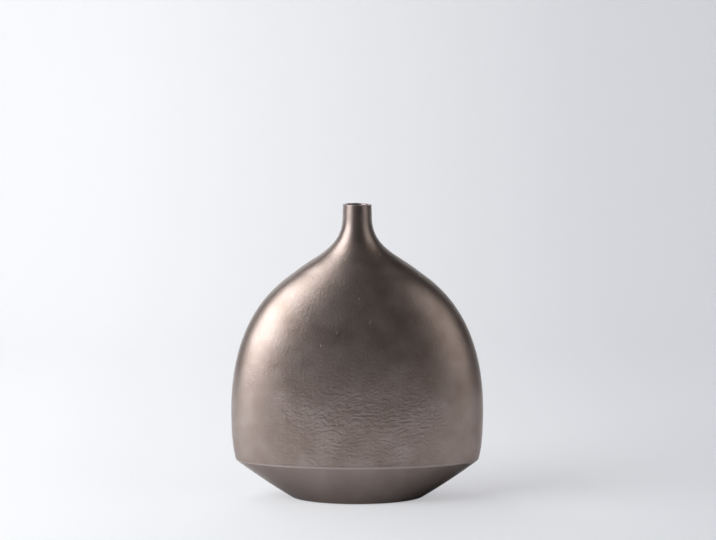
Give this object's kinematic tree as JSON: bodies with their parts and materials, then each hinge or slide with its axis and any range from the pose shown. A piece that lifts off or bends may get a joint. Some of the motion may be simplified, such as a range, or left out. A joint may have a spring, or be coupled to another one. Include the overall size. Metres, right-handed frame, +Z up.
{
  "type": "bud vase",
  "caption": "Flat oval metal vase with a narrow upright neck, broad rounded shoulders, a crisp lower crease and a tapered oval foot.",
  "frame": {"origin": "centre of the footprint, on the plane under the felt pads", "axes": "+Z up through the neck, +X along the broad width, -Y towards the viewer's broad face"},
  "size_m": [0.2564, 0.0998, 0.3],
  "materials": {
    "body": "satin dark bronze patina over cast aluminium, fine cast wrinkles on the broad faces",
    "bead": "ground weld, satin",
    "floor": "as-cast satin",
    "felt": "matt pressed felt"
  },
  "bodies": {
    "root": {"front_shell": "body", "rear_shell": "body", "neck_tube": "body", "lower_body": "body", "side_weld_left": "bead", "side_weld_right": "bead", "crease_weld": "bead", "neck_weld": "bead", "base_plate": "floor", "base_plate_weld": "floor", "felt_pad_front_left": "felt", "felt_pad_front_right": "felt", "felt_pad_rear_left": "felt", "felt_pad_rear_right": "felt"}
  },
  "joints": []
}
